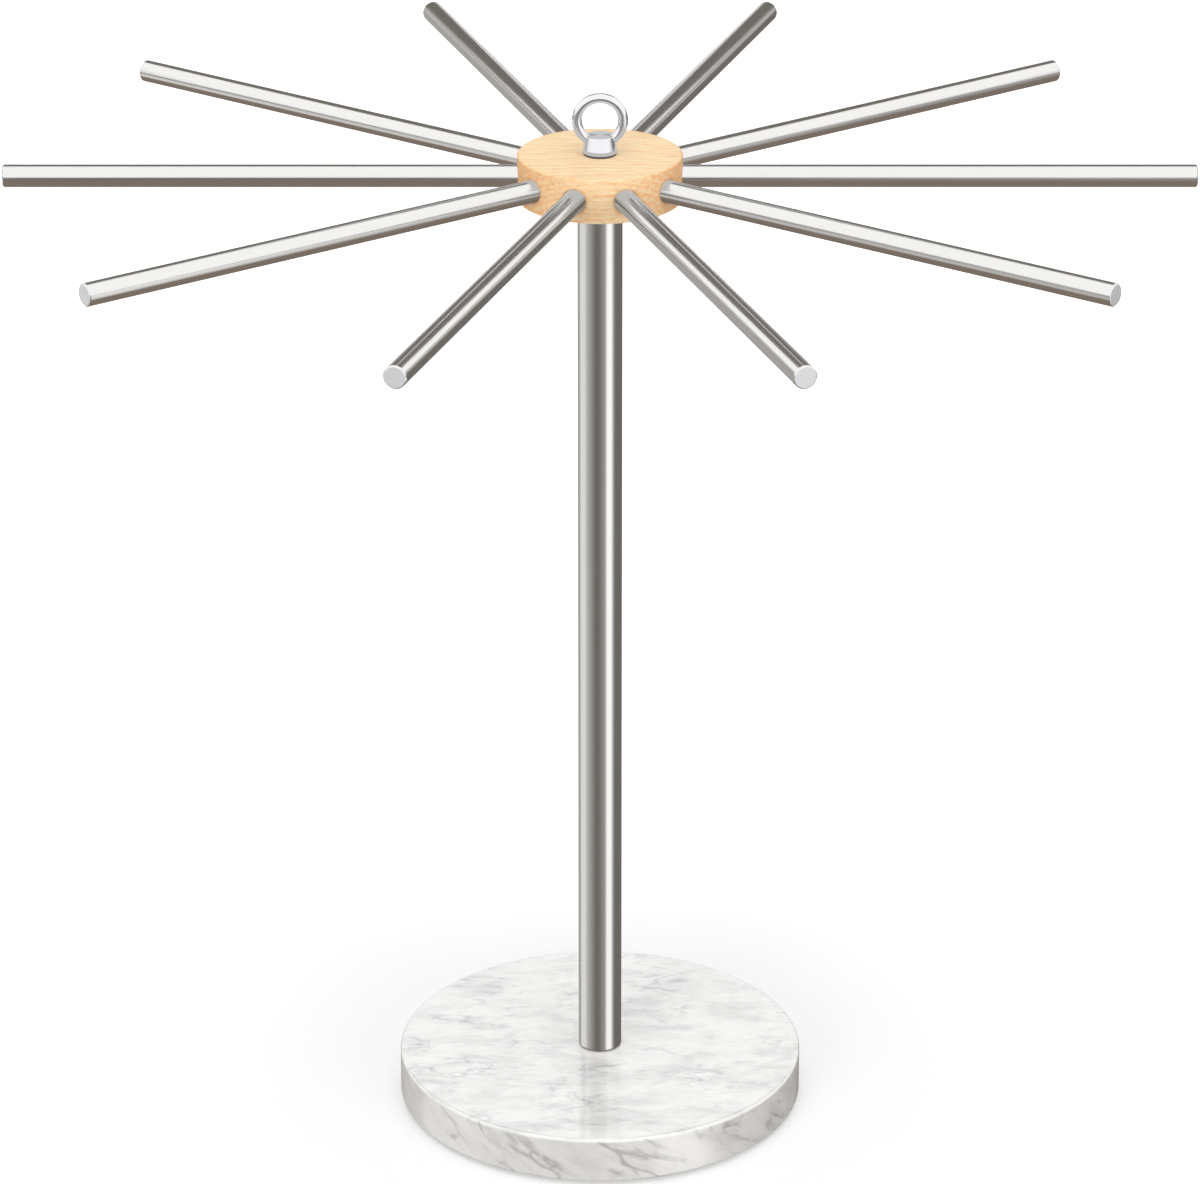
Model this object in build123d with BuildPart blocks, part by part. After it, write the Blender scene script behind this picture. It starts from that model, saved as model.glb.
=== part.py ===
from build123d import *
import os
from math import pi, sin

os.makedirs("parts", exist_ok=True)

# A pasta drying rack. A marble foot carries a steel post, and a wooden hub on top
# of the post holds a star of steel rods, one in each of its sockets. The hub turns
# on a shouldered spindle, and an eye nut on the spindle keeps it in place.
# Lengths are in millimetres. The origin is the centre of the pad's underside and
# +Z points up. The first rod lies along +X.

# Clearances between pieces, each on the radius unless it says otherwise
running_clearance = 0.05
hole_clearance = 0.3
hub_end_play = 0.2
socket_end_gap = 0.2

# Non-slip pad under the foot
pad_thickness = 1.5
pad_inset = 7.0
pad_hole_margin = 5.0

# Marble foot
base_diameter = 150.0
base_thickness = 17.0
base_top_bevel = 1.0

# Socket screw and washer in the recess under the foot
screw_diameter = 6.0
screw_engagement = 14.0
screw_head_diameter = 10.0
screw_head_height = 6.0
hex_across_flats = 5.0
hex_depth = 3.0
washer_diameter = 18.0
washer_thickness = 1.6
recess_margin = 1.0
recess_cover = 0.4

# Post: a tube with a threaded plug pressed into each end
post_diameter = 16.0
post_wall = 1.2
post_length = 334.0
plug_length = 18.0

# Spindle: a stud, the hub's journal and the thread for the eye nut
stud_diameter = 6.0
stud_length = 14.0
journal_diameter = 8.0
nut_thread_diameter = 5.0
nut_thread_length = 5.0

# Flanged bush in the hub's bore, standing a little proud of it at the top
bush_wall = 1.5
flange_overhang = 2.0
flange_thickness = 1.0
bush_stand_out = 0.5

# Rods
rod_count = 10
rod_diameter = 8.0
rack_radius = 209.0
rod_chamfer = 0.5

# Wooden hub
hub_diameter = 58.0
hub_cover = 3.95
socket_wall = 1.8

# Eye nut on top of the hub
boss_overhang = 0.35
boss_height = 6.3
boss_rim_height = 1.4
boss_taper = 1.0
boss_bevel = 0.4
nut_bore_floor = 0.9
ring_diameter = 19.7
ring_wire_diameter = 3.6
ring_wire_flats = 16
ring_centre_height = 11.6

# Sizes that follow from the ones above
screw_hole_diameter = screw_diameter + 2 * hole_clearance
screw_thread_bore = screw_diameter + 2 * running_clearance
recess_diameter = washer_diameter + 2 * recess_margin
recess_depth = washer_thickness + screw_head_height + recess_cover
tube_bore = post_diameter - 2 * post_wall
stud_thread_bore = stud_diameter + 2 * running_clearance
bush_bore = journal_diameter + 2 * running_clearance
bush_diameter = bush_bore + 2 * bush_wall
socket_diameter = rod_diameter + 2 * running_clearance
socket_floor_radius = (socket_diameter + socket_wall) / (2 * sin(pi / rod_count))
hub_radius = hub_diameter / 2
hub_thickness = socket_diameter + 2 * hub_cover
rod_inner_radius = socket_floor_radius + socket_end_gap
boss_radius = bush_diameter / 2 + boss_overhang
boss_top_radius = boss_radius - boss_taper
ring_radius = (ring_diameter - ring_wire_diameter) / 2

# Levels of the stacked pieces
base_bottom = pad_thickness
recess_roof = base_bottom + recess_depth
base_top = base_bottom + base_thickness
post_top = base_top + post_length
hub_bottom = post_top + flange_thickness
rod_level = hub_bottom + hub_thickness / 2
hub_top = hub_bottom + hub_thickness
bush_top = hub_top + bush_stand_out
nut_seat = bush_top + hub_end_play


def spoke_plane(number):
    """The plane on the post's axis that faces outwards along one rod."""
    outwards = Vector(1, 0, 0).rotate(Axis.Z, 360 * number / rod_count)
    return Plane(origin=(0, 0, rod_level), z_dir=outwards)


# Non-slip pad, a flat ring glued under the foot
with BuildPart() as base_pad:
    with BuildSketch():
        Circle(base_diameter / 2 - pad_inset)
        Circle(recess_diameter / 2 + pad_hole_margin, mode=Mode.SUBTRACT)
    extrude(amount=pad_thickness)
base_pad.part.label = "base_pad"
export_step(base_pad.part, "parts/base_pad.step")

# Marble foot, a turned slab with a recess for the screw's head underneath
with BuildPart() as marble_base:
    with BuildSketch(Plane.XY.offset(base_bottom)):
        Circle(base_diameter / 2)
    extrude(amount=base_thickness)
    chamfer(marble_base.edges().sort_by(Axis.Z)[-1], base_top_bevel)
    with Locations(Plane(origin=(0, 0, base_bottom), z_dir=(0, 0, -1))):
        CounterBoreHole(screw_hole_diameter / 2, recess_diameter / 2, recess_depth)
marble_base.part.label = "marble_base"
export_step(marble_base.part, "parts/marble_base.step")

# Washer against the roof of the recess
with BuildPart() as base_washer:
    with BuildSketch(Plane.XY.offset(recess_roof - washer_thickness)):
        Circle(washer_diameter / 2)
        Circle(screw_hole_diameter / 2, mode=Mode.SUBTRACT)
    extrude(amount=washer_thickness)
base_washer.part.label = "base_washer"
export_step(base_washer.part, "parts/base_washer.step")

# Socket screw, head down, from the washer up into the post
with BuildPart() as base_screw:
    head_bottom = recess_roof - washer_thickness - screw_head_height
    with BuildSketch(Plane.XY.offset(head_bottom)):
        Circle(screw_head_diameter / 2)
    extrude(amount=screw_head_height)
    with BuildSketch(Plane.XY.offset(head_bottom)):
        RegularPolygon(hex_across_flats / 2, side_count=6, major_radius=False)
    extrude(amount=hex_depth, mode=Mode.SUBTRACT)
    with BuildSketch(Plane.XY.offset(head_bottom + screw_head_height)):
        Circle(screw_diameter / 2)
    extrude(amount=base_top + screw_engagement - head_bottom - screw_head_height)
base_screw.part.label = "base_screw"
export_step(base_screw.part, "parts/base_screw.step")

# Post tube
with BuildPart() as post_tube:
    with BuildSketch(Plane.XY.offset(base_top)):
        Circle(post_diameter / 2)
        Circle(tube_bore / 2, mode=Mode.SUBTRACT)
    extrude(amount=post_length)
post_tube.part.label = "post_tube"
export_step(post_tube.part, "parts/post_tube.step")


def make_plug(level, thread_bore):
    """A round plug of the tube's bore with a threaded hole along its axis."""
    with BuildPart() as plug:
        with BuildSketch(Plane.XY.offset(level)):
            Circle(tube_bore / 2)
            Circle(thread_bore / 2, mode=Mode.SUBTRACT)
        extrude(amount=plug_length)
    return plug.part


# Plug in the tube's foot, for the base screw
post_foot_plug = make_plug(base_top, screw_thread_bore)
post_foot_plug.label = "post_foot_plug"
export_step(post_foot_plug, "parts/post_foot_plug.step")

# Plug in the tube's head, for the spindle
post_head_plug = make_plug(post_top - plug_length, stud_thread_bore)
post_head_plug.label = "post_head_plug"
export_step(post_head_plug, "parts/post_head_plug.step")

# Spindle, turned from one bar: stud below, journal with a shoulder at each end, thread above
with BuildPart() as spindle:
    with BuildSketch(Plane.XY.offset(post_top)):
        Circle(journal_diameter / 2)
    extrude(amount=nut_seat - post_top)
    with BuildSketch(Plane.XY.offset(post_top)):
        Circle(stud_diameter / 2)
    extrude(amount=-stud_length)
    with BuildSketch(Plane.XY.offset(nut_seat)):
        Circle(nut_thread_diameter / 2)
    extrude(amount=nut_thread_length)
spindle.part.label = "spindle"
export_step(spindle.part, "parts/spindle.step")

# Bush pressed into the hub from below. Its flange lies on the post's top, and the
# eye nut bears on its upper end.
with BuildPart() as hub_bush:
    with BuildSketch(Plane.XY.offset(post_top)):
        Circle(bush_diameter / 2 + flange_overhang)
    extrude(amount=flange_thickness)
    with BuildSketch(Plane.XY.offset(hub_bottom)):
        Circle(bush_diameter / 2)
    extrude(amount=bush_top - hub_bottom)
    with BuildSketch(Plane.XY.offset(post_top)):
        Circle(bush_bore / 2)
    extrude(amount=bush_top - post_top, mode=Mode.SUBTRACT)
hub_bush.part.label = "hub_bush"
export_step(hub_bush.part, "parts/hub_bush.step")

# Wooden hub: a turned disc with a blind socket for each rod around its rim
with BuildPart() as hub:
    with BuildSketch(Plane.XY.offset(hub_bottom)):
        Circle(hub_radius)
        Circle(bush_diameter / 2, mode=Mode.SUBTRACT)
    extrude(amount=hub_thickness)
    for number in range(rod_count):
        with Locations(spoke_plane(number).offset(hub_radius)):
            Hole(socket_diameter / 2, depth=hub_radius - socket_floor_radius)
hub.part.label = "hub"
export_step(hub.part, "parts/hub.step")

# Rods, each in its own socket
for number in range(rod_count):
    with BuildPart() as rod:
        with BuildSketch(spoke_plane(number).offset(rod_inner_radius)):
            Circle(rod_diameter / 2)
        extrude(amount=rack_radius - rod_inner_radius)
        outer_end = rod.faces().sort_by_distance((0, 0, rod_level))[-1]
        chamfer(outer_end.edges(), rod_chamfer)
    rod.part.label = f"rod_{number + 1:02d}"
    export_step(rod.part, f"parts/{rod.part.label}.step")

# Eye nut: a tapered boss with a ring of wire standing on it, across the front view. The
# wire's section is a polygon of short sides, close to round at this size.
with BuildPart() as eye_nut:
    with BuildSketch(Plane.XZ):
        with BuildLine():
            Polyline(
                (0, nut_seat),
                (boss_radius - boss_bevel, nut_seat),
                (boss_radius, nut_seat + boss_bevel),
                (boss_radius, nut_seat + boss_rim_height),
                (boss_top_radius, nut_seat + boss_height - boss_bevel),
                (boss_top_radius - boss_bevel, nut_seat + boss_height),
                (0, nut_seat + boss_height),
                close=True,
            )
        make_face()
    revolve(axis=Axis.Z)
    ring_axis = Axis((0, 0, nut_seat + ring_centre_height), (0, 1, 0))
    with BuildSketch(Plane.XY.offset(nut_seat + ring_centre_height)):
        with Locations((ring_radius, 0)):
            RegularPolygon(ring_wire_diameter / 2, side_count=ring_wire_flats)
    revolve(axis=ring_axis)
    with Locations(Plane(origin=(0, 0, nut_seat), z_dir=(0, 0, -1))):
        Hole(
            nut_thread_diameter / 2 + running_clearance,
            depth=boss_height - nut_bore_floor,
        )
eye_nut.part.label = "eye_nut"
export_step(eye_nut.part, "parts/eye_nut.step")
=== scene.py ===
from math import atan2, cos, pi, radians, sin, sqrt, tan

import bmesh
import bpy
from mathutils import Color, Matrix, Vector


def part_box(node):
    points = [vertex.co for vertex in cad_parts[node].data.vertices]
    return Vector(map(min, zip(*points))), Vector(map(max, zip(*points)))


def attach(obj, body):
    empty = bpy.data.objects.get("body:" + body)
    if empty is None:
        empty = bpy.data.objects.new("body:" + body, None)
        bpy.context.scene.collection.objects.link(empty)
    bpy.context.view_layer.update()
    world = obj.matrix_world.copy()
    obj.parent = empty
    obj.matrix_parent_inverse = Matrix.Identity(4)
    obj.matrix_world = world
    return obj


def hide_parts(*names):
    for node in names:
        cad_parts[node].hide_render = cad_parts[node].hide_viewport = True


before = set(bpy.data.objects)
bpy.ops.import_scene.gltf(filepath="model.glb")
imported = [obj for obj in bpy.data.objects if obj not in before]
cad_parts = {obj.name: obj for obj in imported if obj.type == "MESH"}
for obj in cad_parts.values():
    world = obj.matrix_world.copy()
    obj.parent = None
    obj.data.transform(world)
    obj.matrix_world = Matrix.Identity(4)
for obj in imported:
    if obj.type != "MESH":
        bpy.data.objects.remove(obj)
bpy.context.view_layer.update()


# Marble foot
# A disc of white, grey-veined marble, sawn and ground round, polished, and eased along
# its top edge. The recess bored underneath hides the washer and the screw's head.

slab_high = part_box("marble_base")[1]
slab_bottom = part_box("marble_base")[0].z
slab_top = slab_high.z
slab_edge = 0.0013
slab_foot_edge = 0.0006
recess_margin = 0.001
bore_radius = 0.0033
bore_edge = 0.0002


def eased(corners, steps=6):
    """An outline with its corners rounded. Each corner is a radius, a height and its easing."""
    outline = []
    neighbours = zip(corners[-1:] + corners[:-1], corners, corners[1:] + corners[:1])
    for before, corner, after in neighbours:
        here = Vector(corner[:2])
        if not corner[2]:
            outline.append(here)
            continue
        back = (Vector(before[:2]) - here).normalized()
        onward = (Vector(after[:2]) - here).normalized()
        half = back.angle(onward) / 2
        centre = here + (back + onward).normalized() * corner[2] / sin(half)
        start = here + back * corner[2] / tan(half)
        end = here + onward * corner[2] / tan(half)
        first, last = (start - centre).normalized(), (end - centre).normalized()
        outline.append(start + back * corner[2] / 2)
        for step in range(steps + 1):
            outline.append(centre + first.slerp(last, step / steps) * corner[2])
        outline.append(end + onward * corner[2] / 2)
    return outline


def add_skin(draft, rings, closed=True):
    """Faces between each ring of points and the next, which has as many points."""
    rows = [[draft.verts.new(point) for point in ring] for ring in rings]
    for row, following in zip(rows, rows[1:]):
        count = len(row)
        for place in range(count if closed else count - 1):
            beside = (place + 1) % count
            draft.faces.new((row[place], row[beside], following[beside], following[place]))


def close_mesh(name, draft):
    """Join a draft's seams and poles, turn its faces outwards and shade it."""
    bmesh.ops.remove_doubles(draft, verts=draft.verts, dist=0.000001)
    bmesh.ops.recalc_face_normals(draft, faces=draft.faces)
    mesh = bpy.data.meshes.new(name)
    draft.to_mesh(mesh)
    draft.free()
    mesh.shade_smooth()
    mesh.set_sharp_from_angle(angle=radians(35))
    return mesh


def turned(name, outline, steps=240):
    """A mesh turned about the post's axis, closed unless its outline starts on the axis."""
    draft = bmesh.new()
    angles = [2 * pi * step / steps for step in range(steps)]
    rows = outline + outline[:1] if outline[0].x else outline
    add_skin(draft, [[(r * cos(a), r * sin(a), z) for a in angles] for r, z in rows])
    return close_mesh(name, draft)


def tint(red, green, blue):
    """A colour given as it looks on a screen, from 0 to 255."""
    return (*Color((red / 255, green / 255, blue / 255)).from_srgb_to_scene_linear(), 1)


class Wire:
    """An output socket. Operators on it add Math nodes, and node() adds any other node."""

    def __init__(self, socket):
        self.socket = socket

    def node(self, kind, settings=None, values=None, output=0):
        """Add a node: its settings first, then values or wires for its sockets."""
        tree = self.socket.id_data
        made = tree.nodes.new(kind)
        for name, setting in (settings or {}).items():
            setattr(made, name, setting)
        usable = [socket for socket in made.inputs if socket.enabled]
        for key, value in (values or {}).items():
            by_name = (socket for socket in usable if socket.name == key)
            target = usable[key] if isinstance(key, int) else next(by_name)
            if isinstance(value, Wire):
                tree.links.new(value.socket, target)
            else:
                target.default_value = value
        outputs = [socket for socket in made.outputs if socket.enabled]
        return Wire(outputs[output]) if outputs else None

    def maths(self, operation, *numbers):
        return self.node("ShaderNodeMath", {"operation": operation}, dict(enumerate(numbers)))

    def __add__(self, other):
        return self.maths("ADD", self, other)

    __radd__ = __add__

    def __sub__(self, other):
        return self.maths("SUBTRACT", self, other)

    def __rsub__(self, other):
        return self.maths("SUBTRACT", other, self)

    def __mul__(self, other):
        return self.maths("MULTIPLY", self, other)

    __rmul__ = __mul__

    def __truediv__(self, other):
        return self.maths("DIVIDE", self, other)

    def __pow__(self, other):
        return self.maths("POWER", self, other)

    def part(self, axis):
        """One coordinate of a vector."""
        return self.node("ShaderNodeSeparateXYZ", None, {"Vector": self}, "XYZ".index(axis))

    def placed(self, scale=(1, 1, 1), turn=(0, 0, 0), shift=(0, 0, 0)):
        """Coordinates stretched, turned and shifted by a Mapping node."""
        values = {"Vector": self, "Scale": scale, "Rotation": turn, "Location": shift}
        return self.node("ShaderNodeMapping", None, values)

    def swayed(self, scale, reach):
        """Coordinates pushed about by noise, up to half the reach in metres."""
        noise = {"Vector": self, "Scale": scale, "Detail": 4}
        push = self.node("ShaderNodeTexNoise", None, noise, output=1)
        values = {0: push, 1: (reach, reach, reach), 2: self}
        return self.node("ShaderNodeVectorMath", {"operation": "MULTIPLY_ADD"}, values)

    def cracks(self, scale, width):
        """Branching lines between the cells of a Voronoi texture, 1 in their middle."""
        values = {"Vector": self, "Scale": scale}
        cells = self.node("ShaderNodeTexVoronoi", {"feature": "DISTANCE_TO_EDGE"}, values)
        return 1 - cells.rise(0, width)

    def noise(self, scale, detail=2, roughness=0.5, distortion=0):
        """Cloudy noise from 0 to 1 over these coordinates, scale in cells to the metre."""
        values = {"Vector": self, "Scale": scale, "Detail": detail}
        values.update({"Roughness": roughness, "Distortion": distortion})
        return self.node("ShaderNodeTexNoise", None, values)

    def rise(self, low, high):
        """0 below low, 1 above high and smooth between them."""
        values = {"Value": self, "From Min": low, "From Max": high}
        return self.node("ShaderNodeMapRange", {"interpolation_type": "SMOOTHSTEP"}, values)

    def between(self, start, end):
        """The colour start where this is 0 and end where it is 1."""
        values = {"Factor": self, "A": start, "B": end}
        return self.node("ShaderNodeMix", {"data_type": "RGBA"}, values)

    def bump(self, distance, strength=1.0):
        """A normal from this height, where 1 stands out by the distance in metres."""
        values = {"Height": self, "Distance": distance, "Strength": strength}
        return self.node("ShaderNodeBump", None, values)


def new_finish(name, coordinates="ShaderNodeTexCoord", output="Object", settings=None):
    """A new material and the coordinates that its nodes start from."""
    material = bpy.data.materials.new(name)
    material.use_nodes = True
    material.node_tree.nodes.clear()
    start = material.node_tree.nodes.new(coordinates)
    for key, setting in (settings or {}).items():
        setattr(start, key, setting)
    return material, Wire(start.outputs[output])


def coat(place, values):
    """End a material in one Principled shader with these values and wires."""
    shader = place.node("ShaderNodeBsdfPrincipled", None, values)
    place.node("ShaderNodeOutputMaterial", None, {"Surface": shader})


def fit_piece(name, mesh, body, slot, material, *nodes):
    """Hang a finished mesh on its body, in the place of the CAD nodes it stands for."""
    piece = bpy.data.objects.new(name, mesh)
    bpy.context.scene.collection.objects.link(piece)
    mesh.materials.clear()
    mesh.materials.append(material)
    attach(piece, body)
    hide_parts(*nodes)
    return piece


recess_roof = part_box("base_washer")[1].z
recess_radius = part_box("base_washer")[1].x + recess_margin
slab_outline = eased([
    (bore_radius, slab_top, bore_edge),
    (slab_high.x, slab_top, slab_edge),
    (slab_high.x, slab_bottom, slab_foot_edge),
    (recess_radius, slab_bottom, slab_foot_edge),
    (recess_radius, recess_roof, 0),
    (bore_radius, recess_roof, bore_edge),
])
slab_mesh = turned("foot_slab", slab_outline, steps=360)

# The stone is one solid pattern. Soft strokes lie across the top, and the veins that
# cross the rim lean to the right on their way down, because the pattern is twisted.
stroke_turn = radians(12)
marble_white, stroke_grey = tint(250, 249, 247), tint(176, 175, 176)
# The rim's white is darker than the top's white: painted shade on the slab's upright side.
rim_white_in_painted_shade, vein_grey = tint(232, 230, 227), tint(146, 144, 145)
polished_marble, place = new_finish("polished_marble")
height = place.part("Z")
twist = {"Vector": place, "Angle": height * (1 / slab_high.x)}
twisted = place.node("ShaderNodeVectorRotate", {"rotation_type": "Z_AXIS"}, twist)
stroke_place = place.placed(scale=(0.5, 1, 1), turn=(0, 0, stroke_turn))
clouds = stroke_place.noise(95, detail=8, roughness=0.68, distortion=0.35).rise(0.38, 0.74)
wisp_place = stroke_place.swayed(60, 0.03).placed(scale=(0.7, 1, 1))
wisps = wisp_place.noise(230, detail=5, roughness=0.6)
wisp_patches = stroke_place.noise(60, detail=3).rise(0.42, 0.64)
wisps = wisps.rise(0.5, 0.72) * wisp_patches
threads = stroke_place.swayed(110, 0.020).cracks(95, 0.16) ** 2
thread_patches = stroke_place.noise(70, detail=4, roughness=0.6).rise(0.48, 0.66)
stroke_share = clouds * 0.52 + wisps * 0.5 + threads * thread_patches * 0.45
rim_clouds = twisted.noise(85, detail=6, roughness=0.62, distortion=0.4).rise(0.42, 0.78)
veins = twisted.swayed(80, 0.020).cracks(52, 0.13) ** 2
vein_patches = twisted.noise(75, detail=3).rise(0.44, 0.62)
vein_share = rim_clouds * 0.36 + veins * vein_patches * 0.55
rim_share = 1 - height.rise(slab_top - slab_edge, slab_top)
top_stone = stroke_share.between(marble_white, stroke_grey)
rim_stone = vein_share.between(rim_white_in_painted_shade, vein_grey)
stone = rim_share.between(top_stone, rim_stone)
polish = place.noise(400, detail=3)
coat(place, {
    "Base Color": stone,
    "Roughness": polish * 0.03 + stroke_share * 0.04 + 0.04,
    "IOR": 2.3,
    "Normal": (polish + stroke_share * 0.4).bump(0.00001),
})
foot_slab = fit_piece(
    "foot_slab", slab_mesh, "stand", "white_marble", polished_marble, "marble_base")

# Left out of reflections, as the pad, the hub and the floor are, so that the steel
# shows the studio's cards alone.
foot_slab.visible_glossy = False


# Non-slip pad
# A ring cut from black cellular rubber sheet and glued under the slab, so that the
# stone neither slides nor scratches.

pad_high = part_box("base_pad")[1]
pad_hole_margin = 0.005
pad_edge = 0.0003
pad_hole = recess_radius + pad_hole_margin
pad_outline = eased([
    (pad_hole, pad_high.z, 0),
    (pad_high.x, pad_high.z, 0),
    (pad_high.x, 0, pad_edge),
    (pad_hole, 0, pad_edge),
], steps=3)
pad_mesh = turned("non_slip_pad", pad_outline)
cell_rubber, place = new_finish("cell_rubber")
cells = place.node("ShaderNodeTexVoronoi", None, {"Vector": place, "Scale": 1400})
scuffs = place.noise(60, detail=4, roughness=0.65)
coat(place, {
    "Base Color": scuffs.rise(0.4, 0.8).between(tint(43, 43, 45), tint(66, 66, 68)),
    "Roughness": 0.95 - 0.2 * scuffs,
    "Normal": cells.rise(0, 0.5).bump(0.00008),
})
non_slip_pad = fit_piece("non_slip_pad", pad_mesh, "stand", "pad_rubber", cell_rubber, "base_pad")
non_slip_pad.visible_glossy = False


# Base screw and washer
# A zinc-plated M6 socket screw with a knurled head, driven from below through a pressed
# steel washer into the plug in the post's foot.

screw_low, screw_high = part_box("base_screw")
washer_low, washer_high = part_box("base_washer")
hex_apothem = 0.0025
hex_depth = 0.003
head_radius = screw_high.x
head_bottom = screw_low.z
head_top = washer_low.z
head_edge = 0.0005
knurl_margin = 0.0007
knurl_depth = 0.00016
shank_radius = 0.003
shank_tip = 0.0007
hex_sides = 6
socket_rim = 1.35
ridges_a_side = 6
steps_a_ridge = 4


def copies_tree():
    """Geometry Nodes that set copies of a mesh around the post's axis and keep some."""
    tree = bpy.data.node_groups.new("copies_around_the_post", "GeometryNodeTree")
    for name, kind in (
        ("Piece", "NodeSocketGeometry"),
        ("Copies", "NodeSocketInt"),
        ("First kept", "NodeSocketInt"),
        ("Kept", "NodeSocketInt"),
        ("Finish", "NodeSocketMaterial"),
    ):
        tree.interface.new_socket(name, in_out="INPUT", socket_type=kind)
    tree.interface.new_socket("Piece", in_out="OUTPUT", socket_type="NodeSocketGeometry")
    entry = tree.nodes.new("NodeGroupInput")
    piece, copies, first, kept, finish = [Wire(socket) for socket in entry.outputs[:5]]
    own_place = piece.node("GeometryNodeInputPosition")
    stored = piece.node(
        "GeometryNodeStoreNamedAttribute",
        {"data_type": "FLOAT_VECTOR", "domain": "POINT"},
        {"Geometry": piece, "Name": "own_place", "Value": own_place},
    )
    points = piece.node("GeometryNodePoints", None, {"Count": copies})
    number = piece.node("GeometryNodeInputIndex")
    after_first = number.maths("GREATER_THAN", number, first - 0.5)
    before_end = number.maths("LESS_THAN", number, first + kept - 0.5)
    turn = number.node("ShaderNodeCombineXYZ", None, {"Z": number * (2 * pi) / copies})
    placed = points.node("GeometryNodeInstanceOnPoints", None, {
        "Points": points,
        "Selection": after_first * before_end,
        "Instance": stored,
        "Rotation": turn,
    })
    real = placed.node("GeometryNodeRealizeInstances", None, {"Geometry": placed})
    seams = {"Geometry": real, "Distance": 0.000001}
    joined = real.node("GeometryNodeMergeByDistance", None, seams)
    dress = {"Geometry": joined, "Material": finish}
    finished = joined.node("GeometryNodeSetMaterial", None, dress)
    leave = tree.nodes.new("NodeGroupOutput")
    tree.links.new(finished.socket, leave.inputs[0])
    return tree


around_post = copies_tree()


def copied(name, mesh, material, copies, first=0, kept=None):
    """A plain mesh of the copies around the post that are kept, all of them if not said."""
    carrier = bpy.data.objects.new(name + "_pattern", mesh)
    bpy.context.scene.collection.objects.link(carrier)
    modifier = carrier.modifiers.new("copies", "NODES")
    modifier.node_group = around_post
    wanted = {"Copies": copies, "First kept": first, "Kept": kept or copies, "Finish": material}
    for item in around_post.interface.items_tree:
        if item.in_out == "INPUT" and item.name in wanted:
            modifier[item.identifier] = wanted[item.name]
    depsgraph = bpy.context.evaluated_depsgraph_get()
    evaluated = carrier.evaluated_get(depsgraph)
    result = bpy.data.meshes.new_from_object(evaluated, depsgraph=depsgraph)
    carrier.modifiers.remove(modifier)
    bpy.data.objects.remove(carrier)
    result.name = name
    result.set_sharp_from_angle(angle=radians(35))
    return result


def screw_wedge():
    """A sixth of the screw: one side of its hex socket and the knurls beside it."""
    steps = ridges_a_side * steps_a_ridge
    half = pi / hex_sides
    angles = [half * (2 * step / steps - 1) for step in range(steps + 1)]

    def round_row(radius, level):
        return [(radius * cos(a), radius * sin(a), level) for a in angles]

    def hex_row(level, growth=0.0):
        flats = [(hex_apothem + growth) / cos(a) for a in angles]
        return [(r * cos(a), r * sin(a), level) for r, a in zip(flats, angles)]

    def knurl_row(level):
        row = []
        for step, angle in enumerate(angles):
            groove = knurl_depth * (1 - cos(2 * pi * step / steps_a_ridge)) / 2
            radius = head_radius - groove
            row.append((radius * cos(angle), radius * sin(angle), level))
        return row

    socket_floor = head_bottom + hex_depth
    rows = [
        round_row(0, socket_floor + hex_apothem / 4),
        hex_row(socket_floor),
        hex_row(head_bottom + knurl_depth),
        hex_row(head_bottom, knurl_depth),
        round_row(hex_apothem * socket_rim, head_bottom),
        round_row(head_radius - head_edge, head_bottom),
        round_row(head_radius - head_edge / 3, head_bottom + head_edge / 4),
        round_row(head_radius - knurl_depth, head_bottom + knurl_margin),
        knurl_row(head_bottom + knurl_margin * 1.3),
        knurl_row(head_top - knurl_margin),
        round_row(head_radius - head_edge, head_top),
        round_row(shank_radius + head_edge / 2, head_top),
        round_row(shank_radius, head_top + head_edge / 2),
        round_row(shank_radius, screw_high.z - shank_tip),
        round_row(shank_radius - shank_tip, screw_high.z),
        round_row(0, screw_high.z),
    ]
    draft = bmesh.new()
    add_skin(draft, rows, closed=False)
    return close_mesh("screw_wedge", draft)


zinc, place = new_finish("zinc_plate")
spangle = place.noise(900, detail=3, roughness=0.6)
zinc_clouds = place.noise(120, detail=2)
coat(place, {
    "Base Color": zinc_clouds.between(tint(196, 198, 203), tint(214, 212, 200)),
    "Metallic": 1.0,
    "Roughness": spangle * 0.15 + zinc_clouds * 0.1 + 0.24,
    "Normal": spangle.bump(0.00001),
})
screw_mesh = copied("base_socket_screw", screw_wedge(), zinc, hex_sides)
fit_piece("base_socket_screw", screw_mesh, "stand", "zinc_steel", zinc, "base_screw")
washer_edge = 0.0003
washer_outline = eased([
    (bore_radius, washer_low.z, washer_edge),
    (washer_high.x, washer_low.z, washer_edge),
    (washer_high.x, washer_high.z, 0),
    (bore_radius, washer_high.z, 0),
], steps=4)
washer_mesh = turned("base_plain_washer", washer_outline, steps=120)
fit_piece("base_plain_washer", washer_mesh, "stand", "zinc_steel", zinc, "base_washer")


# Post
# A length of stainless steel tube, 16 mm across, finished in a lathe with fine abrasive,
# so that its lights run the whole length of it. Its cut ends are lightly eased.

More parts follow.
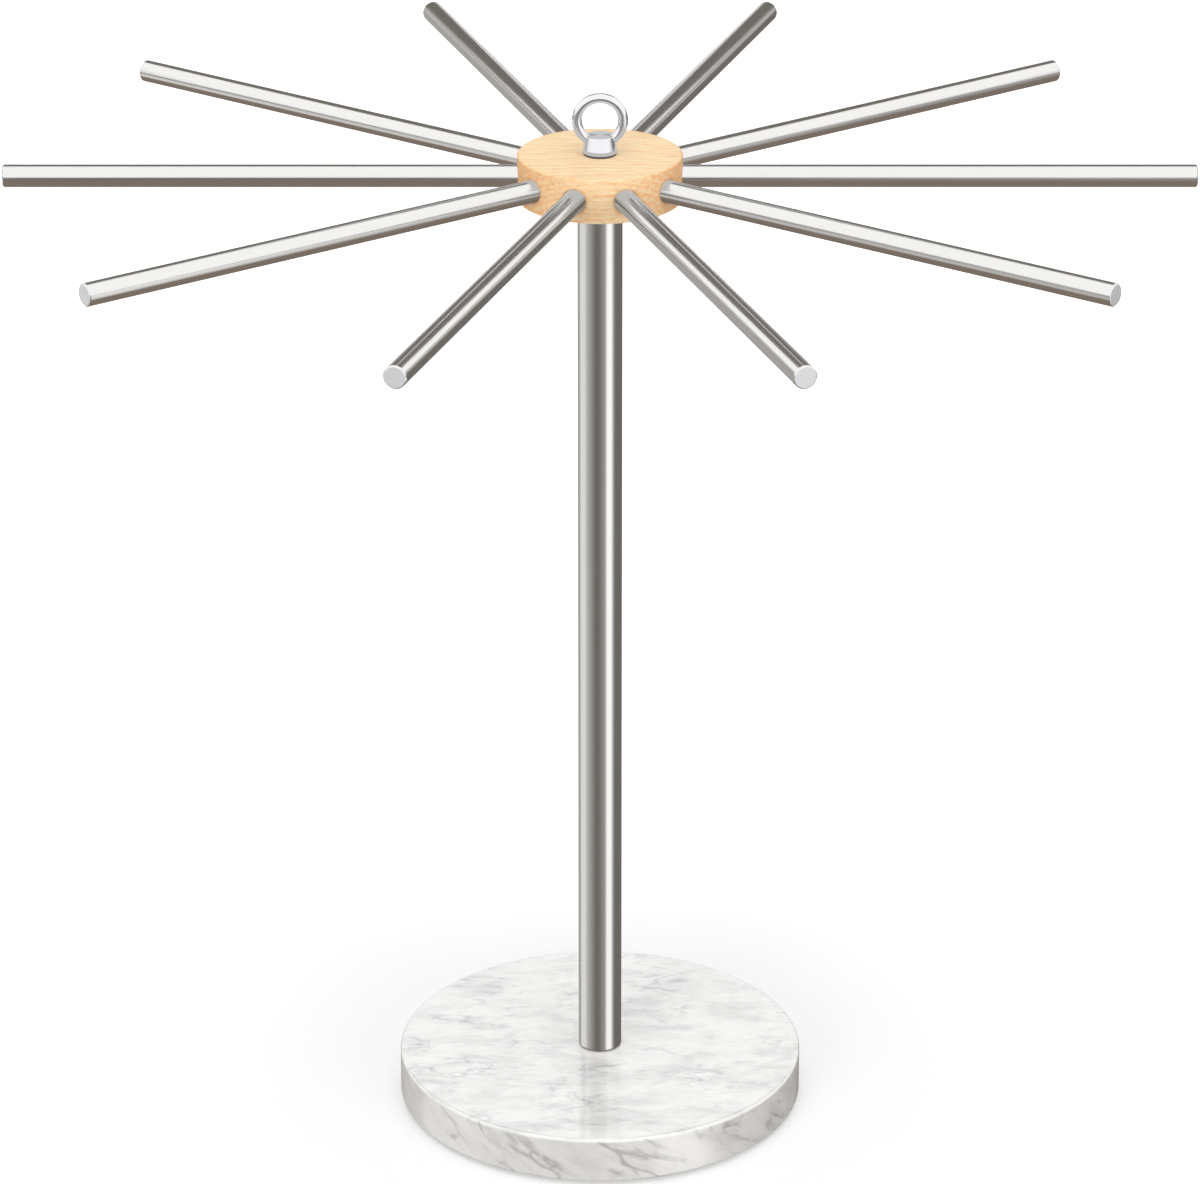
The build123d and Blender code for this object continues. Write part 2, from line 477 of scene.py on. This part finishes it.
post_low, post_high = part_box("post_tube")
tube_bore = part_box("post_foot_plug")[1].x
post_foot_edge = 0.0008
post_edge = 0.0003
post_bore_edge = 0.0001
post_outline = eased([
    (post_high.x, post_low.z, post_foot_edge),
    (post_high.x, post_high.z, post_edge),
    (tube_bore, post_high.z, post_bore_edge),
    (tube_bore, post_low.z, post_bore_edge),
])
post_mesh = turned("post", post_outline, steps=200)
turned_steel, place = new_finish("turned_steel")
fine_lines = place.placed(scale=(0.02, 0.02, 1)).noise(5200, detail=3, roughness=0.7)
handling = place.placed(scale=(1, 1, 0.25)).noise(140, detail=3)
coat(place, {
    "Base Color": fine_lines.between(tint(222, 222, 221), tint(234, 234, 233)),
    "Metallic": 1.0,
    "Roughness": fine_lines * 0.04 + handling * 0.03 + 0.14,
    "Anisotropic": 0.6,
    "Anisotropic Rotation": 0.25,
    "Normal": fine_lines.bump(0.000004),
})
fit_piece("post", post_mesh, "stand", "post_steel", turned_steel, "post_tube")


# Plugs and spindle
# Turned from bright mild steel bar. The plugs are pressed into the tube's ends, and the
# spindle is screwed into the upper one and carries the hub on its journal.

bright_bar, place = new_finish("bright_bar")
tool_lines = place.placed(scale=(0.05, 0.05, 1)).noise(2600, detail=2)
oil = place.noise(160, detail=3)
coat(place, {
    "Base Color": oil.between(tint(190, 189, 186), tint(204, 203, 200)),
    "Metallic": 1.0,
    "Roughness": tool_lines * 0.12 + oil * 0.08 + 0.26,
    "Normal": tool_lines.bump(0.00001),
})
for node in ("post_foot_plug", "post_head_plug", "spindle"):
    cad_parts[node].material_slots[0].material = bright_bar


# Hub bush
# A flanged bush turned from black nylon. Its flange carries the hub on the
# post's end, and its bore runs on the spindle.

nylon, place = new_finish("black_nylon")
nylon_lines = place.placed(scale=(0.1, 0.1, 1)).noise(3000, detail=2)
coat(place, {
    "Base Color": nylon_lines.between(tint(70, 70, 73), tint(88, 88, 91)),
    "Roughness": nylon_lines * 0.15 + 0.38,
    "Normal": nylon_lines.bump(0.00001),
})
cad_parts["hub_bush"].material_slots[0].material = nylon


# Hub
# A thick disc turned from pale beech, its grain running across it. A blind socket is
# bored in from the rim for each rod, and the wood is sanded and lightly oiled.

hub_low, hub_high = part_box("hub")
rod_low, rod_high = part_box("rod_01")
rod_count = len([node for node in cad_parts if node.startswith("rod_")])
rod_level = (rod_low.z + rod_high.z) / 2
rod_radius = (rod_high.z - rod_low.z) / 2
running_clearance = 0.00005
socket_end_gap = 0.0002
bush_flange_overhang = 0.002
hub_edge = 0.00045
hub_bore_edge = 0.0002
socket_edge = 0.0003
socket_radius = rod_radius + running_clearance
socket_floor = rod_low.x - socket_end_gap
hub_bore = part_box("hub_bush")[1].x - bush_flange_overhang
across_steps = 24
upright_steps = 20
side_steps = 6
edge_steps = 5


def hub_wedge():
    """The hub's share around one socket, from the bore out to the rim."""
    half = pi / rod_count
    side_top = hub_high.z - hub_edge
    side_bottom = hub_low.z + hub_edge
    angles = [half * (2 * step / across_steps - 1) for step in range(across_steps + 1)]
    levels = [
        side_bottom + (side_top - side_bottom) * step / upright_steps
        for step in range(upright_steps + 1)
    ]
    border = [(angle, side_bottom) for angle in angles[:-1]]
    border += [(half, level) for level in levels[:-1]]
    border += [(angle, side_top) for angle in angles[:0:-1]]
    border += [(-half, level) for level in levels[:0:-1]]
    border = [(hub_high.x * sin(angle), level - rod_level) for angle, level in border]
    turns = [atan2(up, across) for across, up in border]

    def on_rim(across, up):
        return Vector((sqrt(hub_high.x ** 2 - across ** 2), across, rod_level + up))

    def socket_ring(radius, depth_from_rim=None, level_place=None):
        ring = []
        for turn in turns:
            point = on_rim(radius * cos(turn), radius * sin(turn))
            if depth_from_rim:
                point.x -= depth_from_rim
            if level_place is not None:
                point.x = level_place
            ring.append(point)
        return ring

    rings = [socket_ring(radius, level_place=socket_floor) for radius in (0, socket_radius)]
    rings.append(socket_ring(socket_radius, level_place=hub_high.x - 5 * socket_edge))
    wall = socket_ring(socket_radius, depth_from_rim=socket_edge)
    corner = socket_ring(socket_radius)
    face = socket_ring(socket_radius + socket_edge)
    for step in range(edge_steps + 1):
        share = step / edge_steps
        rings.append([
            a * (1 - share) ** 2 + b * 2 * share * (1 - share) + c * share ** 2
            for a, b, c in zip(wall, corner, face)
        ])
    rim_radius = socket_radius + socket_edge
    for step in range(1, side_steps + 1):
        share = (step / side_steps) ** 1.4
        rings.append([
            on_rim(
                rim_radius * cos(turn) * (1 - share) + across * share,
                rim_radius * sin(turn) * (1 - share) + up * share,
            )
            for turn, (across, up) in zip(turns, border)
        ])
    draft = bmesh.new()
    add_skin(draft, rings)
    outline = eased([
        (hub_high.x, hub_high.z, hub_edge),
        (hub_bore, hub_high.z, hub_bore_edge),
        (hub_bore, hub_low.z, hub_bore_edge),
        (hub_high.x, hub_low.z, hub_edge),
    ])[1:-1]
    faces = [[(r * cos(a), r * sin(a), z) for a in angles] for r, z in outline]
    add_skin(draft, faces, closed=False)
    return close_mesh("hub_wedge", draft)


# The disc is cut from a plank whose heart lay beside the post and below the hub. The
# rim is a little darker all round and darker still at its end grain. Around each socket's
# mouth the wood is darkened: painted shade where the rod enters.
heart_shift = (0, 0.052, -0.31)
rings_a_metre = 520
painted_socket_shade_width = 0.0014
early_wood, late_wood, pore_brown = tint(255, 235, 193), tint(247, 189, 130), tint(203, 128, 76)
oiled_beech, place = new_finish("oiled_beech")
grain = place.swayed(30, 0.006).swayed(140, 0.0012)
log_place = grain.placed(shift=heart_shift)
heart_distance = (log_place.part("Y") ** 2 + log_place.part("Z") ** 2) ** 0.5
growth = heart_distance * rings_a_metre
season = (growth - growth.maths("FLOOR", growth)).rise(0.2, 1.0)
fibres = grain.placed(scale=(0.04, 1, 1)).noise(2600, detail=3, roughness=0.7)
streaks = grain.placed(scale=(0.09, 1, 1)).noise(950, detail=4, roughness=0.62).rise(0.42, 0.68)
flecks = grain.placed(scale=(0.09, 1, 1)).noise(1500, detail=2).rise(0.6, 0.72)
warmth = place.placed(scale=(0.5, 1, 1)).noise(60, detail=2)
from_post = (place.part("X") ** 2 + place.part("Y") ** 2) ** 0.5
on_rim = from_post.rise(hub_high.x * 0.97, hub_high.x)
end_grain = (place.part("X") * (1 / hub_high.x)) ** 2
wood_share = season * 0.3 + streaks * 0.52 + warmth * 0.12
wood_share = wood_share + on_rim * (0.08 + end_grain * 0.6)
wood = wood_share.between(early_wood, late_wood)
sector = 2 * pi / rod_count
turn = place.maths("ARCTAN2", place.part("Y"), place.part("X")) / sector
off_turn = (turn - turn.maths("ROUND", turn)) * sector
off_side = off_turn.maths("SINE", off_turn) * from_post
off_socket = (off_side ** 2 + (place.part("Z") - rod_level) ** 2) ** 0.5
# Painted shade: a dark ring on the wood around each socket's mouth, where the rod enters.
painted_socket_shade = 1 - off_socket.rise(socket_radius, socket_radius + painted_socket_shade_width)
dark_share = fibres.rise(0.5, 0.8) * 0.26 + flecks * 0.34
dark_share = dark_share + on_rim * (0.04 + painted_socket_shade * 0.45)
wood = dark_share.between(wood, pore_brown)
coat(place, {
    "Base Color": wood,
    "Roughness": 0.42 + fibres * 0.15 + season * 0.06,
    "IOR": 1.45,
    "Normal": (fibres * 0.6 - flecks * 0.6 - season * 0.3).bump(0.00004, 0.7),
})
hub_mesh = copied("hub_disc", hub_wedge(), oiled_beech, rod_count)
hub_disc = fit_piece("hub_disc", hub_mesh, "hub_wheel", "hub_wood", oiled_beech, "hub")
hub_disc.visible_glossy = False


# Rods
# Ten lengths of ground stainless steel bar, 8 mm across, faced in a lathe and lightly
# chamfered. Each is pushed into its own socket and draws out of the hub for cleaning.

rod_chamfer = 0.0005
rod_inner_edge = 0.0002
rod_outline = eased([
    (0, rod_low.x, 0),
    (rod_radius, rod_low.x, rod_inner_edge),
    (rod_radius, rod_high.x - rod_chamfer, rod_chamfer / 6),
    (rod_radius - rod_chamfer, rod_high.x, rod_chamfer / 6),
    (0, rod_high.x, 0),
], steps=3)
rod_mesh = turned("rod_pattern", rod_outline, steps=96)
rod_mesh.transform(Matrix.Translation((0, 0, rod_level)) @ Matrix.Rotation(pi / 2, 4, "Y"))
ground_steel, place = new_finish(
    "ground_steel", "ShaderNodeAttribute", "Vector", {"attribute_name": "own_place"})
from_axis = place.placed(shift=(0, 0, -rod_level))
off_axis = (from_axis.part("Y") ** 2 + from_axis.part("Z") ** 2) ** 0.5
on_end = from_axis.part("X").rise(rod_high.x - rod_chamfer / 2, rod_high.x - rod_chamfer / 3)
facing_values = {"W": off_axis, "Scale": 9000, "Detail": 2}
facing_lines = off_axis.node("ShaderNodeTexNoise", {"noise_dimensions": "1D"}, facing_values)
drawn_lines = from_axis.placed(scale=(0.02, 1, 1)).noise(3500, detail=3, roughness=0.7)
smudges = from_axis.placed(scale=(0.5, 1, 1)).noise(120, detail=3)
bar_colour = drawn_lines.between(tint(228, 227, 225), tint(240, 239, 237))
end_colour = facing_lines.between(tint(224, 223, 226), tint(236, 235, 238))
coat(place, {
    "Base Color": on_end.between(bar_colour, end_colour),
    "Metallic": 1 - on_end * 0.55,
    "Roughness": drawn_lines * 0.06 + smudges * 0.06 + on_end * 0.25 + 0.13,
    "Normal": (on_end * facing_lines + (1 - on_end) * drawn_lines * 0.2).bump(0.00001),
})
for number in range(rod_count):
    node = f"rod_{number + 1:02d}"
    bar_mesh = copied(f"{node}_bar", rod_mesh, ground_steel, rod_count, first=number, kept=1)
    fit_piece(f"{node}_bar", bar_mesh, node, "rod_steel", ground_steel, node)


# Eye nut
# Forged in stainless steel and polished: a tapered boss threaded from below, and a ring
# of round section that runs into the boss at both sides.

nut_low, nut_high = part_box("eye_nut")
boss_height = 0.0063
boss_rim_height = 0.0014
boss_taper = 0.001
boss_edge = 0.0004
nut_bore = 0.00255
nut_bore_floor = 0.0009
ring_wire = 0.0018
ring_outer = nut_high.x
boss_radius = nut_high.y
boss_top = nut_low.z + boss_height
ring_centre = nut_high.z - ring_outer
boss_outline = eased([
    (0, boss_top, 0),
    (boss_radius - boss_taper, boss_top, boss_edge),
    (boss_radius, nut_low.z + boss_rim_height, boss_edge * 2),
    (boss_radius, nut_low.z, boss_edge / 2),
    (nut_bore, nut_low.z, boss_edge / 2),
    (nut_bore, boss_top - nut_bore_floor, 0),
    (0, boss_top - nut_bore_floor, 0),
])
boss_mesh = turned("boss", boss_outline, steps=128)
ring_draft = bmesh.new()
ring_steps = 160
wire_steps = 48
ring_rows = []
for step in range(ring_steps + 1):
    turn = 2 * pi * step / ring_steps
    row = []
    for wire_step in range(wire_steps):
        angle = 2 * pi * wire_step / wire_steps
        reach = ring_outer - ring_wire + ring_wire * cos(angle)
        row.append((reach * cos(turn), ring_wire * sin(angle), ring_centre + reach * sin(turn)))
    ring_rows.append(row)
add_skin(ring_draft, ring_rows)
ring_mesh = close_mesh("eye_ring", ring_draft)
ring_object = bpy.data.objects.new("eye_ring", ring_mesh)
boss_object = bpy.data.objects.new("eye_boss", boss_mesh)
for part in (ring_object, boss_object):
    bpy.context.scene.collection.objects.link(part)
union = boss_object.modifiers.new("union", "BOOLEAN")
union.operation = "UNION"
union.solver = "EXACT"
union.object = ring_object
depsgraph = bpy.context.evaluated_depsgraph_get()
joined_boss = boss_object.evaluated_get(depsgraph)
nut_mesh = bpy.data.meshes.new_from_object(joined_boss, depsgraph=depsgraph)
boss_object.modifiers.remove(union)
bpy.data.objects.remove(boss_object)
bpy.data.objects.remove(ring_object)
nut_mesh.shade_smooth()
nut_mesh.set_sharp_from_angle(angle=radians(40))
mirror_steel, place = new_finish("mirror_steel")
haze = place.noise(300, detail=4, roughness=0.6)
coat(place, {
    "Base Color": haze.between(tint(232, 232, 235), tint(240, 240, 243)),
    "Metallic": 1.0,
    "Roughness": haze * 0.08 + 0.09,
    "Normal": haze.bump(0.00001),
})
fit_piece("eye_nut_polished", nut_mesh, "eye_nut", "polished_steel", mirror_steel, "eye_nut")


# Floor and background
# A plain white sweep for the rack to stand on. It shows as white to the camera and keeps
# the rack's soft shadow.

floor_size = 12.0
shade_start = 0.1
shade_reach = 0.5
glow_near = 0.42
glow_far = 0.65
floor_mesh = bpy.data.meshes.new("floor")
floor_draft = bmesh.new()
bmesh.ops.create_circle(floor_draft, cap_ends=True, segments=96, radius=floor_size / 2)
floor_draft.to_mesh(floor_mesh)
floor_draft.free()
floor = bpy.data.objects.new("floor", floor_mesh)
bpy.context.scene.collection.objects.link(floor)
white_floor, place = new_finish("white_floor")
seen = place.node("ShaderNodeLightPath")
rays = seen.socket.node.outputs
for ray in ("Is Glossy Ray", "Is Transmission Ray"):
    seen = seen.maths("MAXIMUM", seen, Wire(rays[ray]))
distance = place.node("ShaderNodeVectorMath", {"operation": "LENGTH"}, {0: place})
far = distance.rise(shade_start, shade_reach)
paper = place.node("ShaderNodeBsdfDiffuse", None, {"Color": (0.6, 0.6, 0.6, 1)})
glow_level = seen * (glow_near + far * glow_far)
glow = place.node("ShaderNodeEmission", None, {"Color": (1, 1, 1, 1), "Strength": glow_level})
both = place.node("ShaderNodeAddShader", None, {0: paper, 1: glow})
place.node("ShaderNodeOutputMaterial", None, {"Surface": both})
floor_mesh.materials.append(white_floor)
floor.visible_glossy = False

# The room is white to the camera. Reflections see a white sky, and below the horizon a
# belt of cards about the post, with a dark brown floor under it.
ambient_level = 0.6
sky_white = (1.1, 1.1, 1.1, 1)
card_white = (1.25, 1.25, 1.23, 1)
card_grey = (0.42, 0.41, 0.40, 1)
card_dark = (0.18, 0.165, 0.15, 1)
deep_brown = (0.23, 0.19, 0.155, 1)

# Bearings in degrees from the front towards +X, and how white the belt is there
belt_stops = (
    (-180, 0.23), (-130, 0.23), (-118, 0.66), (-86, 0.66), (-70, 0.36), (-24, 0), (-6, 0),
    (27, 0.22), (38, 1), (60, 1), (74, 0.2), (86, 0), (168, 0), (180, 0.23),
)

# How far up a reflection looks, from -1 to 1, where one surface gives way to the next
floor_line = (-0.63, -0.53)
sky_line = (-0.08, 0.02)
world = bpy.data.worlds.new("white_room")
bpy.context.scene.world = world
world.use_nodes = True
world.node_tree.nodes.clear()
direction = Wire(world.node_tree.nodes.new("ShaderNodeTexCoord").outputs["Generated"])
across, upward = direction.part("X"), direction.part("Z")
bearing = across.maths("ARCTAN2", across, 0 - direction.part("Y"))
belt = bearing.node("ShaderNodeValToRGB", None, {"Fac": bearing * (0.5 / pi) + 0.5})
stops = belt.socket.node.color_ramp.elements
for number, (stop, level) in enumerate(belt_stops):
    on_edge = number in (0, len(belt_stops) - 1)
    element = stops[-1 if number else 0] if on_edge else stops.new(stop / 360 + 0.5)
    element.color = (level, level, level, 1)
cards = belt.between(card_dark, card_white)
cards = upward.rise(*floor_line).between(deep_brown, cards)
studio = upward.rise(*sky_line).between(cards, sky_white)
path = world.node_tree.nodes.new("ShaderNodeLightPath")
seen = Wire(path.outputs["Is Camera Ray"]) + Wire(path.outputs["Is Transmission Ray"])
ambient = (ambient_level, ambient_level, ambient_level, 1)
room = seen.between(ambient, (1, 1, 1, 1))
room = Wire(path.outputs["Is Glossy Ray"]).between(room, studio)
sky = room.node("ShaderNodeBackground", None, {"Color": room, "Strength": 1.0})
sky.node("ShaderNodeOutputWorld", None, {"Surface": sky})


# Cards around the rack
# Plain cards that only reflections see. Those behind draw the dark line along the top of
# the rods, the low curved ones in front show in the stone's polish, and the rest shade
# the eye nut, which sees a pale disc in place of the hub's top.

back_place = 0.55
back_reach = 0.4
back_gap = 0.03
back_low = 0.40
back_high = 1.15
round_place = 0.5
round_steps = 12
front_low = 0.24
front_high = 0.355
boss_low = 0.27
boss_high = 0.335
ring_low = 0.362
ring_high = 0.44
disc_share = 0.98
disc_lift = 0.0001
card_pale = (0.66, 0.66, 0.68, 1)
card_shade = (0.3, 0.29, 0.28, 1)
disc_pale = (0.62, 0.6, 0.58, 1)


def card_paint(name, colour):
    """A paint that glows in one colour."""
    paint, place = new_finish(name)
    lit = place.node("ShaderNodeEmission", None, {"Color": colour, "Strength": 1.0})
    place.node("ShaderNodeOutputMaterial", None, {"Surface": lit})
    return paint


def hang_card(draft, paint):
    """Make a draft a card that only reflections see."""
    card_mesh = bpy.data.meshes.new("card")
    draft.to_mesh(card_mesh)
    draft.free()
    card_mesh.materials.append(paint)
    card = bpy.data.objects.new("card", card_mesh)
    bpy.context.scene.collection.objects.link(card)
    card.visible_camera = False
    card.visible_diffuse = False
    card.visible_shadow = False
    card.visible_transmission = False


def upright_card(corners, low, high, paint):
    """A card that stands on these points of the plan, from one height to another."""
    draft = bmesh.new()
    add_skin(draft, [[(x, y, z) for x, y in corners] for z in (low, high)], closed=False)
    hang_card(draft, paint)


dark_paint = card_paint("card_dark", card_dark)
grey_paint = card_paint("card_grey", card_grey)
pale_paint = card_paint("card_pale", card_pale)
shade_paint = card_paint("card_shade", card_shade)
for left, right, paint in (
    (-back_reach, -back_gap, dark_paint),
    (-back_gap, back_gap, pale_paint),
    (back_gap, back_reach, dark_paint),
):
    upright_card([(left, back_place), (right, back_place)], back_low, back_high, paint)

# Curved cards from one bearing to another, in degrees from the front towards +X
for start, end, low, high, paint in (
    (-66, -34, front_low, front_high, grey_paint),
    (-34, 8, front_low, front_high, dark_paint),
    (8, 36, front_low, front_high, grey_paint),
    (-120, -76, boss_low, boss_high, shade_paint),
    (-150, -95, ring_low, ring_high, grey_paint),
    (95, 150, ring_low, ring_high, grey_paint),
):
    shares = [step / round_steps for step in range(round_steps + 1)]
    bearings = [radians(start + (end - start) * share) for share in shares]
    corners = [(round_place * sin(b), -round_place * cos(b)) for b in bearings]
    upright_card(corners, low, high, paint)
disc = bmesh.new()
bmesh.ops.create_circle(disc, cap_ends=True, segments=96, radius=hub_high.x * disc_share)
bmesh.ops.translate(disc, vec=(0, 0, hub_high.z + disc_lift), verts=disc.verts)
hang_card(disc, card_paint("disc_pale", disc_pale))


# Lights
# Wide soft boxes: a large one overhead, one at the front left and a weaker one at the
# front right. They light the rack and leave its reflections to the cards.

lamp_aim = Vector((0, 0, 0.2))
for name, position, size, power in (
    ("overhead", (0, -0.2, 2.2), 2.0, 15),
    ("front_left", (-1.2, -2.3, 0.9), 1.4, 21),
    ("front_right", (1.6, -2.0, 0.8), 1.4, 14),
):
    lamp = bpy.data.lights.new(name, "AREA")
    lamp.shape = "DISK"
    lamp.size = size
    lamp.energy = power
    light = bpy.data.objects.new(name, lamp)
    bpy.context.scene.collection.objects.link(light)
    light.location = position
    light.rotation_euler = (lamp_aim - Vector(position)).to_track_quat("-Z", "Y").to_euler()
    light.visible_glossy = False


# Camera
# A long lens a little above the hub, looking down on the rack from the front.

camera_place = Vector((0, -1.6867, 0.9270))
camera_aim = Vector((0, 0, 0.2030))
camera_data = bpy.data.cameras.new("camera")
camera_data.lens = 152.02
camera_data.sensor_width = 36
camera = bpy.data.objects.new("camera", camera_data)
bpy.context.scene.collection.objects.link(camera)
camera.location = camera_place
camera.rotation_euler = (camera_aim - camera_place).to_track_quat("-Z", "Y").to_euler()
bpy.context.scene.camera = camera
bpy.context.scene.view_settings.view_transform = "Standard"
